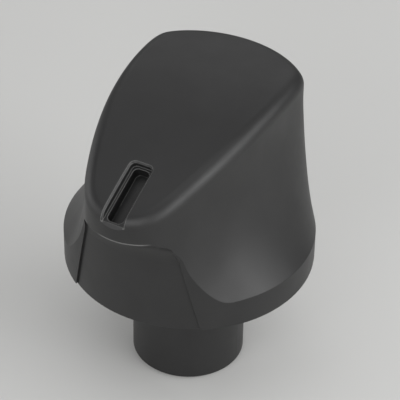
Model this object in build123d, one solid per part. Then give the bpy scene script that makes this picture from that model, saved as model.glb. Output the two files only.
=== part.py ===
from build123d import *
from math import asin, atan2, cos, degrees, pi, radians, sin, sqrt, tan
import os

# Gas control knob, millimetres. The knob stands on the end of its stem, with the stem's axis on +Z
# and the nose of the grip pointing to -Y. The shapes are drawn with the skirt's lower edge at
# height 0 and raised by the stem's length at the end.

# Skirt
skirt_diameter = 40.0
rim_height = 4.7

# Grip, seen from above: a nose arc, two long flank arcs and a rear arc
grip_height = 30.4            # top of the crown above the skirt's lower edge
grip_half_width = 13.3        # at the widest place
widest_back = 8.0             # that place lies this far behind the stem's axis
flank_radius = 65.5
nose_reach = 24.0             # tip of the nose ahead of the stem's axis
rear_radius = 17.0
rear_center_back = 1.8
wall_draft = 0.5              # degrees
corner_sharpness = 32         # of the corner between rear arc and flank
crown_radius = 70.0
crown_back = 9.0              # the crown's highest line lies this far behind the stem's axis
top_edge_round = 2.1
grip_wall = 2.0
cavity_sharpness = 14         # of the bend where the cavity meets the skirt's inside
roof_thickness = 4.2

# Scoops: the flanks flare out into the skirt
scoop_top = 26.0
flank_scoop_power = 2.2       # 1 is a straight cone, more is a hollower curve
rear_scoop_power = 1.3
rear_scoop_from = 80.0        # degrees from the nose where the scoop starts to ease off
rear_scoop_to = 130.0
front_swell = 1.8             # the flare's foot swells past the skirt's circle beside the nose
swell_half_angle = 37.4       # degrees from the nose
swell_sharpness = 16

# Front apron: a shallow panel let into the skirt below the nose, with a cove under the nose
apron_recess = 0.3
apron_foot_width = 22.1
apron_top_width = 14.2
cove_start = 12.8
nose_ledge = 1.1607           # flat part of the nose's underside, outside the cove
nose_underside = 17.9         # height of the nose's lower edge
nose_edge_chamfer = 0.2

# Pointer groove, empty: a wide step that runs out at the nose's tip and a narrower, deeper slot
groove_setback = 4.6          # from the nose's tip back to the groove's middle
groove_width = 3.5
groove_depth = 1.3
groove_rear = 5.0             # from the groove's middle back to its rear end
groove_corner = 0.8
groove_rim_chamfer = 0.25
lip_length = 0.45             # the wide step's floor slopes off over this length at the nose's tip
lip_slope = 33.0              # degrees steeper than the floor
slot_depth = 3.2
slot_front = 4.85             # from the groove's middle forward to the slot's front end
slot_ledge = 0.4              # beside and behind the slot

# Stem, spindle socket and hub
stem_diameter = 18.2
stem_length = 20.3
stem_end_chamfer = 0.5
spindle_diameter = 8.0
spindle_clearance = 0.05      # all round the spindle in the socket
lead_in_clearance = 0.3       # all round the spindle in the lead-in
lead_in_length = 6.0
socket_depth = 22.0
socket_flat_offset = 2.1      # from the axis to the socket's flat
hub_web_start = 12.5
hub_web_length = 17.0
rib_thickness = 1.8
rib_start = 5.0

# Spring clip in a pocket beside the socket's flat
clip_width = 5.0
clip_thickness = 0.4
clip_length = 12.0
clip_foot = 2.0               # flat foot at each end
clip_bow = 0.7                # how far its middle stands off its feet
clip_clearance = 0.15         # beside and beyond the clip
clip_seat_gap = 0.05          # behind its feet
clip_pocket_depth = 0.75      # beyond the socket's flat

# Sampling of the free-form outline
outline_points = 48
section_step = 2.5
overlap = 1.0                 # cutters run past the faces they cut by this much
tiny = 0.001                  # closer than this counts as touching

# Worked-out sizes
skirt_radius = skirt_diameter / 2
stem_radius = stem_diameter / 2
socket_radius = spindle_diameter / 2 + spindle_clearance
lead_in_radius = spindle_diameter / 2 + lead_in_clearance
flank_center = flank_radius - grip_half_width
nose_span = nose_reach + widest_back
nose_radius = (flank_radius**2 - flank_center**2 - nose_span**2) / (2 * (flank_radius - nose_span))
nose_center = nose_reach - nose_radius
nose_half_angle = atan2(
    nose_radius * flank_center,
    nose_center * (flank_radius - nose_radius) + nose_radius * (nose_center + widest_back),
)
cove_rise = nose_underside - cove_start
cove_run = nose_reach - nose_ledge - skirt_radius
cove_radius = (cove_rise**2 + cove_run**2) / (2 * cove_run)
groove_tilt = asin((crown_back + nose_reach - groove_setback) / crown_radius)
floor_drop = (crown_radius - groove_depth) * sin(groove_tilt)
floor_front = (nose_reach + crown_back - floor_drop) / cos(groove_tilt)


def ray_to_circle(angle, center_x, center_y, radius):
    """Distance from the stem's axis to a circle, at an angle from the nose."""
    along = center_x * sin(angle) - center_y * cos(angle)
    return along + sqrt(radius**2 - center_x**2 - center_y**2 + along**2)


def grip_reach(angle):
    """Plan outline of the grip at its top, as a distance from the axis."""
    turn = abs(angle)
    if turn < nose_half_angle:
        return ray_to_circle(turn, 0, -nose_center, nose_radius)
    flank = ray_to_circle(turn, -flank_center, widest_back, flank_radius)
    if turn < pi / 2:
        return flank
    rear = ray_to_circle(turn, 0, rear_center_back, rear_radius)
    return (flank**-corner_sharpness + rear**-corner_sharpness) ** (-1 / corner_sharpness)


def scoop_power(angle):
    """Hollowness of the scoop, easing off from the flanks to the rear."""
    share = (degrees(abs(angle)) - rear_scoop_from) / (rear_scoop_to - rear_scoop_from)
    share = min(max(share, 0), 1)
    eased = share * share * (3 - 2 * share)
    return flank_scoop_power + (rear_scoop_power - flank_scoop_power) * eased


def form_reach(angle, height):
    """Distance from the axis to the grip's wall or scoop at a height above the skirt's lower edge."""
    wall = grip_reach(angle) + (grip_height - height) * tan(radians(wall_draft))
    if height >= scoop_top:
        return wall
    turn = degrees(abs(angle))
    foot = skirt_radius + front_swell / (1 + (turn / swell_half_angle) ** swell_sharpness)
    drop = (scoop_top - height) / (scoop_top - rim_height)
    return wall + (foot - wall) * drop ** scoop_power(angle)


def cavity_reach(angle, height):
    """Distance from the axis to the inside of the wall, never wider than the skirt's inside."""
    outer = form_reach(angle, height)
    outer = (outer**-cavity_sharpness + skirt_radius**-cavity_sharpness) ** (-1 / cavity_sharpness)
    return outer - grip_wall


def outline_at(reach, height):
    """Closed outline at a height, with its points at even angles from the rear round to the rear."""
    points = []
    for step in range(outline_points):
        angle = pi * (2 * step / outline_points - 1)
        distance = reach(angle, height)
        points.append((distance * sin(angle), -distance * cos(angle), height))
    even_steps = [step / outline_points for step in range(outline_points + 1)]
    return make_face(Edge.make_spline(points, periodic=True, parameters=even_steps))


def lofted_form(reach, low, high):
    """Loft a solid through outlines at even heights."""
    count = round((high - low) / section_step)
    heights = [low + (high - low) * level / count for level in range(count + 1)]
    return loft([outline_at(reach, height) for height in heights])


def crown_cylinder(radius):
    """Cylinder across the knob whose upper side is the crown."""
    axis_height = grip_height - crown_radius
    return Pos(0, crown_back, axis_height) * Rot(0, 90, 0) * Cylinder(radius, 4 * skirt_diameter)


def coved_outline(radius, foot):
    """Half section inside a wall that rises at a radius and sweeps out in a cove to the nose's underside."""
    top = 2 * grip_height
    room = 2 * skirt_radius
    sweep = degrees(atan2(cove_rise, cove_radius - cove_run))
    wall = Line((radius, foot), (radius, cove_start))
    cove = CenterArc((radius + cove_radius, cove_start), cove_radius, 180, -sweep)
    rest = Polyline(cove @ 1, (room, nose_underside), (room, top), (0, top), (0, foot), (radius, foot))
    return Plane.XZ * make_face(Curve() + [wall, cove, rest])


def apron_panel():
    """Block in front of the knob whose outline is the apron's, wider at the foot than under the nose."""
    half_foot = apron_foot_width / 2
    lean = (apron_foot_width - apron_top_width) / 2 / nose_underside
    low = -overlap
    high = nose_underside + overlap
    outline = Polyline(
        (-half_foot + lean * low, low),
        (half_foot - lean * low, low),
        (half_foot - lean * high, high),
        (-half_foot + lean * high, high),
        close=True,
    )
    return extrude(Plane.XZ * make_face(outline), skirt_diameter)


def skirt_envelope():
    """Everything the lower form is trimmed to: the skirt's cylinder, the cove and the apron."""
    skirt = revolve(coved_outline(skirt_radius, 0), Axis.Z)
    apron = revolve(coved_outline(skirt_radius - apron_recess, -overlap), Axis.Z)
    return skirt - (apron_panel() - apron)


def groove_step(width, rear, front, depth):
    """One straight-sided step of the pointer groove, drawn flat with its rear towards +Y."""
    outline = Pos(0, (rear - front) / 2) * RectangleRounded(width, rear + front, groove_corner)
    return Pos(0, 0, -depth) * extrude(outline, depth + overlap)


def groove_place():
    """Middle of the groove on the crown, square to its surface."""
    crown_axis = Pos(0, crown_back, grip_height - crown_radius)
    return crown_axis * Rot(degrees(groove_tilt), 0, 0) * Pos(0, 0, crown_radius)


def groove_cutter():
    """Pointer groove without its lip."""
    wide = groove_step(groove_width, groove_rear, skirt_radius, groove_depth)
    slot_width = groove_width - 2 * slot_ledge
    deep = groove_step(slot_width, groove_rear - slot_ledge, slot_front, slot_depth)
    return groove_place() * (wide + deep)


def lip_cutter():
    """Wedge below the wide step's floor that slopes it off towards the nose's tip."""
    start = (lip_length - floor_front, -groove_depth)
    run = skirt_radius - floor_front
    low = (start[0] - run, start[1] - run * tan(radians(lip_slope)))
    section = Plane.YZ * make_face(Polyline(start, low, (low[0], start[1]), close=True))
    return groove_place() * extrude(section, groove_width / 2, both=True)


def groove_rim(body, uncut):
    """Edges of the groove's mouth on the knob's skin, without the lip."""
    skin = uncut.shells()[0]

    def on_skin(edge):
        return skin.distance_to(Vertex(*(edge @ 0.5))) < tiny

    return new_edges(uncut, combined=body).filter_by(on_skin).sort_by(Axis.Z)[1:]


def hollow():
    """Space under the skirt, round the stem, with a nose pocket and a rear pocket above."""
    space = lofted_form(cavity_reach, -overlap, grip_height + overlap)
    space = space & crown_cylinder(crown_radius - roof_thickness)
    stem = Cylinder(stem_radius, 4 * grip_height)
    web = Pos(0, 0, hub_web_start) * Box(
        2 * skirt_diameter, hub_web_length, grip_height, align=(Align.CENTER, Align.CENTER, Align.MIN)
    )
    ribs = Pos(0, 0, rib_start) * Box(
        rib_thickness, 2 * skirt_diameter, grip_height, align=(Align.CENTER, Align.CENTER, Align.MIN)
    )
    return space - stem - web - ribs


def socket_cutter():
    """Round lead-in, then the D-shaped socket and the clip's pocket, from the stem's end upwards."""
    lead_in = Pos(0, 0, -overlap) * extrude(Circle(lead_in_radius), lead_in_length + overlap)
    flat_side = Pos(0, socket_flat_offset) * Rectangle(
        4 * socket_radius, 4 * socket_radius, align=(Align.CENTER, Align.MIN)
    )
    deep = extrude(Circle(socket_radius) - flat_side, socket_depth)
    pocket = Pos(0, socket_flat_offset, lead_in_length - overlap) * Box(
        clip_width + 2 * clip_clearance,
        clip_pocket_depth,
        clip_length + 2 * clip_clearance + overlap,
        align=(Align.CENTER, Align.MIN, Align.MIN),
    )
    return lead_in + deep + pocket


def make_knob_body():
    """The whole moulding."""
    body = lofted_form(form_reach, -overlap, grip_height + 2 * overlap)
    body = body & skirt_envelope()
    body = body & crown_cylinder(crown_radius)
    nose_edges = body.edges().filter_by_position(Axis.Z, nose_underside - tiny, nose_underside + tiny)
    body = chamfer(nose_edges.filter_by(GeomType.BSPLINE), nose_edge_chamfer)
    crown_face = body.faces().sort_by(Axis.Z)[-1]
    uncut = fillet(crown_face.edges(), top_edge_round)
    body = uncut - groove_cutter()
    body = chamfer(groove_rim(body, uncut), groove_rim_chamfer)
    body = body - lip_cutter()
    body = body - hollow()
    stem = Pos(0, 0, -stem_length) * Cylinder(
        stem_radius, stem_length + overlap, align=(Align.CENTER, Align.CENTER, Align.MIN)
    )
    stem = chamfer(stem.edges().group_by(Axis.Z)[0], stem_end_chamfer)
    body = body + stem
    return body - Pos(0, 0, -stem_length) * socket_cutter()


def make_spring_clip():
    """Bowed leaf with a flat foot at each end, its feet against the pocket's back."""
    back = socket_flat_offset + clip_pocket_depth - clip_seat_gap
    front = back - clip_thickness
    low = lead_in_length + clip_clearance
    high = low + clip_length
    middle = low + clip_length / 2

    def side(level):
        bow_start = (level, low + clip_foot)
        bow_end = (level, high - clip_foot)
        return [
            Line((level, low), bow_start),
            ThreePointArc(bow_start, (level - clip_bow, middle), bow_end),
            Line(bow_end, (level, high)),
        ]

    ends = [Line((back, low), (front, low)), Line((back, high), (front, high))]
    profile = make_face(Curve() + side(back) + side(front) + ends)
    return Pos(0, 0, -stem_length) * extrude(Plane.YZ * profile, clip_width / 2, both=True)


def main():
    os.makedirs("parts", exist_ok=True)
    raised = Pos(0, 0, stem_length)
    export_step(raised * make_knob_body(), "parts/knob_body.step")
    export_step(raised * make_spring_clip(), "parts/spring_clip.step")


main()
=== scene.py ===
from math import cos, radians, sin

import bpy
from mathutils import Matrix, Vector

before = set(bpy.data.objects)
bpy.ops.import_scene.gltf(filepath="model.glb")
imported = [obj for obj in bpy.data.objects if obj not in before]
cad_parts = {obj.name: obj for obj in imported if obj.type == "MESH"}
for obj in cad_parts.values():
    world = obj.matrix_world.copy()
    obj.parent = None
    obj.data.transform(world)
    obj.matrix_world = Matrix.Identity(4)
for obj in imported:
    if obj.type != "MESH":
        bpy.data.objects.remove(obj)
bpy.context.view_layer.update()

# Gas control knob on a pale table, in metres. The moulding and its spring clip come from the frame.

# The camera and the lamps are placed from the middle of the skirt's lower edge
stem_length = 0.0203           # that edge stands this far above the table
skirt_middle = Vector((0, 0, stem_length))

# Camera: the photograph's viewing angle
camera_azimuth = 28.0          # degrees from the nose towards +X
camera_elevation = 37.973      # degrees above the table
camera_roll = 1.021            # degrees
camera_distance = 0.320308     # along the line of sight through the skirt's middle
camera_right = 0.001689        # how far the camera stands to the right of that line
camera_up = 0.007537           # and above it
camera_lens = 180.0            # millimetres
camera_nearest = 0.01          # nothing closer to the camera is drawn
sensor_width = 36.0            # millimetres

# Noise patterns, with the scale in features per metre
shade_pattern = {"Scale": 180, "Detail": 3, "Roughness": 0.5}
gloss_pattern = {"Scale": 260, "Detail": 4, "Roughness": 0.6}
grain_pattern = {"Scale": 4500, "Detail": 2, "Roughness": 0.5}
steel_pattern = {"Scale": 1500, "Detail": 2, "Roughness": 0.5}
noise_range = (0.3, 0.7)       # most of a pattern lies between these values

# Black plastic
plastic_colors = ((0.0090, 0.0090, 0.0092, 1), (0.0115, 0.0115, 0.0117, 1))
shade_range = (0.35, 0.65)     # values of the shade pattern that give those two colours
plastic_roughness = (0.43, 0.49)
plastic_specular = 0.5
grain_strength = 0.3
grain_depth = 0.00003
edge_softness = 0.00018        # radius of the moulding's sharp edges
edge_samples = 8               # rays that look for an edge nearby

# Painted highlight: a pale line along the nose's lower edge
painted_highlight_color = (0.11, 0.11, 0.108, 1)
nose_edge_height = 0.0384      # top of the edge's chamfer, above the table
nose_edge_front = 0.0205       # the line lies further forward than this
highlight_line_height = 0.00022          # of the line, up from the chamfer
highlight_line_middle = 0.0013           # from the nose's middle towards +X
highlight_line_half_length = 0.0043
highlight_line_fade = 0.0012             # the line fades out over this length at each end

# Painted highlights: pale rims of the pointer groove
groove_half_width = 0.0024     # the rims lie within this of the knob's middle
groove_back = 0.0140           # further forward than this
groove_low = 0.0412            # and higher than this above the table
rim_range = (0.995, 0.96)      # agreement of softened and true normals where a rim begins and is palest

# Spring steel
steel_color = (0.50, 0.50, 0.52, 1)
steel_roughness = (0.28, 0.40)

# Table
floor_size = 6.0
floor_color = (0.60, 0.60, 0.59, 1)
floor_roughness = 0.9
floor_specular = 0.1

# Lights
lamp_distance = 0.6            # from the skirt's middle
softbox_width = 0.6
softbox_height = 0.4
world_color = (1, 1, 1, 1)
world_strength = 0.12


def set_inputs(node, values):
    """Set inputs of a node by their names."""
    for name, value in values.items():
        node.inputs[name].default_value = value


def new_material(name):
    """A material that holds only its output and a Principled shader."""
    material = bpy.data.materials.new(name)
    material.use_nodes = True
    tree = material.node_tree
    tree.nodes.clear()
    output = tree.nodes.new("ShaderNodeOutputMaterial")
    shader = tree.nodes.new("ShaderNodeBsdfPrincipled")
    tree.links.new(shader.outputs["BSDF"], output.inputs["Surface"])
    return material, shader


def object_place(tree):
    """Position in the object's own coordinates."""
    return tree.nodes.new("ShaderNodeTexCoord").outputs["Object"]


def object_axes(tree):
    """Position in the object's own coordinates, as separate X, Y and Z."""
    axes = tree.nodes.new("ShaderNodeSeparateXYZ")
    tree.links.new(object_place(tree), axes.inputs["Vector"])
    return axes.outputs["X"], axes.outputs["Y"], axes.outputs["Z"]


def noise(tree, pattern):
    """A noise pattern fixed to the object."""
    texture = tree.nodes.new("ShaderNodeTexNoise")
    set_inputs(texture, pattern)
    tree.links.new(object_place(tree), texture.inputs["Vector"])
    return texture.outputs["Fac"]


def remap(tree, value, source, target):
    """Map a value from a source range to a target range, and keep it inside the target."""
    node = tree.nodes.new("ShaderNodeMapRange")
    set_inputs(node, {"From Min": source[0], "From Max": source[1]})
    set_inputs(node, {"To Min": target[0], "To Max": target[1]})
    tree.links.new(value, node.inputs["Value"])
    return node.outputs["Result"]


def uneven(tree, pattern, limits):
    """A value that wanders between two limits."""
    return remap(tree, noise(tree, pattern), noise_range, limits)


def calculate(tree, operation, *values):
    """A Math node on other nodes' outputs and plain numbers."""
    node = tree.nodes.new("ShaderNodeMath")
    node.operation = operation
    for socket, value in zip(node.inputs, values):
        if isinstance(value, bpy.types.NodeSocket):
            tree.links.new(value, socket)
        else:
            socket.default_value = value
    return node.outputs["Value"]


def product(tree, first, *others):
    """Several values multiplied together."""
    for value in others:
        first = calculate(tree, "MULTIPLY", first, value)
    return first


def nose_edge_highlight(tree):
    """1 along the painted highlight line on the nose's lower edge, fading at both ends, and 0 elsewhere.
    """
    x, y, z = object_axes(tree)
    half_height = highlight_line_height / 2
    on_edge = calculate(tree, "COMPARE", z, nose_edge_height + half_height, half_height)
    in_front = calculate(tree, "LESS_THAN", y, -nose_edge_front)
    along = calculate(tree, "SUBTRACT", x, highlight_line_middle)
    aside = calculate(tree, "ABSOLUTE", along)
    fade = remap(tree, aside, (highlight_line_half_length - highlight_line_fade, highlight_line_half_length), (1, 0))
    return product(tree, on_edge, in_front, fade)


def groove_rim_highlight(tree, soft_normal):
    """1 on the groove's edges, where the softened normal leaves the true one, and 0 elsewhere: a painted
    highlight on the groove's rims.
    """
    x, y, z = object_axes(tree)
    across = calculate(tree, "COMPARE", x, 0, groove_half_width)
    in_front = calculate(tree, "LESS_THAN", y, -groove_back)
    above = calculate(tree, "GREATER_THAN", z, groove_low)
    surface = tree.nodes.new("ShaderNodeNewGeometry")
    agreement = tree.nodes.new("ShaderNodeVectorMath")
    agreement.operation = "DOT_PRODUCT"
    tree.links.new(soft_normal, agreement.inputs[0])
    tree.links.new(surface.outputs["Normal"], agreement.inputs[1])
    edge = remap(tree, agreement.outputs["Value"], rim_range, (0, 1))
    return product(tree, across, in_front, above, edge)


def softened_normal(tree):
    """Surface direction with the sharp edges rounded off."""
    bevel = tree.nodes.new("ShaderNodeBevel")
    bevel.samples = edge_samples
    set_inputs(bevel, {"Radius": edge_softness})
    return bevel.outputs["Normal"]


def grained_normal(tree, soft_normal):
    """The softened surface direction with the moulded grain on it."""
    grain = tree.nodes.new("ShaderNodeBump")
    set_inputs(grain, {"Strength": grain_strength, "Distance": grain_depth})
    tree.links.new(noise(tree, grain_pattern), grain.inputs["Height"])
    tree.links.new(soft_normal, grain.inputs["Normal"])
    return grain.outputs["Normal"]


def plastic_color(tree):
    """Black with a slightly uneven shade."""
    ramp = tree.nodes.new("ShaderNodeValToRGB")
    for element, position, color in zip(ramp.color_ramp.elements, shade_range, plastic_colors):
        element.position = position
        element.color = color
    tree.links.new(noise(tree, shade_pattern), ramp.inputs["Fac"])
    return ramp.outputs["Color"]


def color_with_painted_highlights(tree, soft_normal):
    """The plastic's colour, paler where highlights are painted on the nose's lower edge and the groove's
    rims.
    """
    mix = tree.nodes.new("ShaderNodeMixRGB")
    painted_highlight_mask = calculate(tree, "MAXIMUM", nose_edge_highlight(tree), groove_rim_highlight(tree, soft_normal))
    tree.links.new(painted_highlight_mask, mix.inputs["Fac"])
    tree.links.new(plastic_color(tree), mix.inputs["Color1"])
    set_inputs(mix, {"Color2": painted_highlight_color})
    return mix.outputs["Color"]


def moulding_material():
    """Satin black plastic with a fine moulded grain, slightly uneven gloss, soft edges, and painted
    highlights on some edges.
    """
    material, shader = new_material("moulding_plastic")
    tree = material.node_tree
    soft_normal = softened_normal(tree)
    tree.links.new(color_with_painted_highlights(tree, soft_normal), shader.inputs["Base Color"])
    tree.links.new(uneven(tree, gloss_pattern, plastic_roughness), shader.inputs["Roughness"])
    set_inputs(shader, {"Specular IOR Level": plastic_specular})
    tree.links.new(grained_normal(tree, soft_normal), shader.inputs["Normal"])
    return material


def steel_material():
    """Spring steel with a slightly uneven gloss."""
    material, shader = new_material("spring_steel")
    tree = material.node_tree
    set_inputs(shader, {"Base Color": steel_color, "Metallic": 1})
    tree.links.new(uneven(tree, steel_pattern, steel_roughness), shader.inputs["Roughness"])
    return material


def floor_material():
    """Plain pale table."""
    material, shader = new_material("pale_table")
    set_inputs(shader, {"Base Color": floor_color, "Roughness": floor_roughness})
    set_inputs(shader, {"Specular IOR Level": floor_specular})
    return material


def dress(node, material):
    """Give a CAD node its material."""
    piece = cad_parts[node]
    piece.data.materials.clear()
    piece.data.materials.append(material)


def add_floor():
    """A wide pale plane under the stem's end."""
    half = floor_size / 2
    mesh = bpy.data.meshes.new("floor")
    corners = [(-half, -half, 0), (half, -half, 0), (half, half, 0), (-half, half, 0)]
    mesh.from_pydata(corners, [], [(0, 1, 2, 3)])
    floor = bpy.data.objects.new("floor", mesh)
    floor.data.materials.append(floor_material())
    bpy.context.scene.collection.objects.link(floor)


def direction(azimuth, elevation):
    """Unit vector from the knob, with the angles in degrees and azimuth from the nose towards +X."""
    a = radians(azimuth)
    e = radians(elevation)
    return Vector((sin(a) * cos(e), -cos(a) * cos(e), sin(e)))


def add_softbox(name, azimuth, elevation, power):
    """A rectangular area lamp that faces the skirt's middle, with its power in watts."""
    lamp = bpy.data.lights.new(name, "AREA")
    lamp.shape = "RECTANGLE"
    lamp.size = softbox_width
    lamp.size_y = softbox_height
    lamp.energy = power
    holder = bpy.data.objects.new(name, lamp)
    away = direction(azimuth, elevation)
    holder.location = skirt_middle + lamp_distance * away
    holder.rotation_euler = away.to_track_quat("Z", "Y").to_euler()
    bpy.context.scene.collection.objects.link(holder)


def add_lights():
    """Soft panels in front, at both sides, behind and overhead, and an even world."""
    add_softbox("front_softbox", azimuth=0, elevation=22, power=2.0)
    add_softbox("right_softbox", azimuth=75, elevation=15, power=2.1)
    add_softbox("high_right_softbox", azimuth=100, elevation=35, power=1.6)
    add_softbox("rear_right_softbox", azimuth=135, elevation=40, power=0.35)
    add_softbox("left_softbox", azimuth=-75, elevation=15, power=1.25)
    add_softbox("rear_softbox", azimuth=-150, elevation=35, power=0.58)
    add_softbox("top_softbox", azimuth=0, elevation=88, power=0.9)
    world = bpy.data.worlds.new("studio")
    world.use_nodes = True
    background = world.node_tree.nodes["Background"]
    set_inputs(background, {"Color": world_color, "Strength": world_strength})
    bpy.context.scene.world = world


def add_camera():
    """Camera at the photograph's angle, moved aside from the line of sight through the skirt's middle."""
    back = direction(camera_azimuth, camera_elevation)
    level_right = direction(camera_azimuth + 90, 0)
    turn = Matrix.Rotation(radians(camera_roll), 3, back)
    right = turn @ level_right
    up = back.cross(right)
    place = skirt_middle + camera_distance * back + camera_right * right + camera_up * up
    lens = bpy.data.cameras.new("camera")
    lens.lens = camera_lens
    lens.sensor_width = sensor_width
    lens.clip_start = camera_nearest
    camera = bpy.data.objects.new("camera", lens)
    axes = Matrix((right, up, back)).transposed().to_4x4()
    camera.matrix_world = Matrix.Translation(place) @ axes
    bpy.context.scene.collection.objects.link(camera)
    bpy.context.scene.camera = camera


dress("knob_body", moulding_material())
dress("spring_clip", steel_material())
add_floor()
add_lights()
add_camera()
bpy.context.scene.view_settings.view_transform = "Standard"
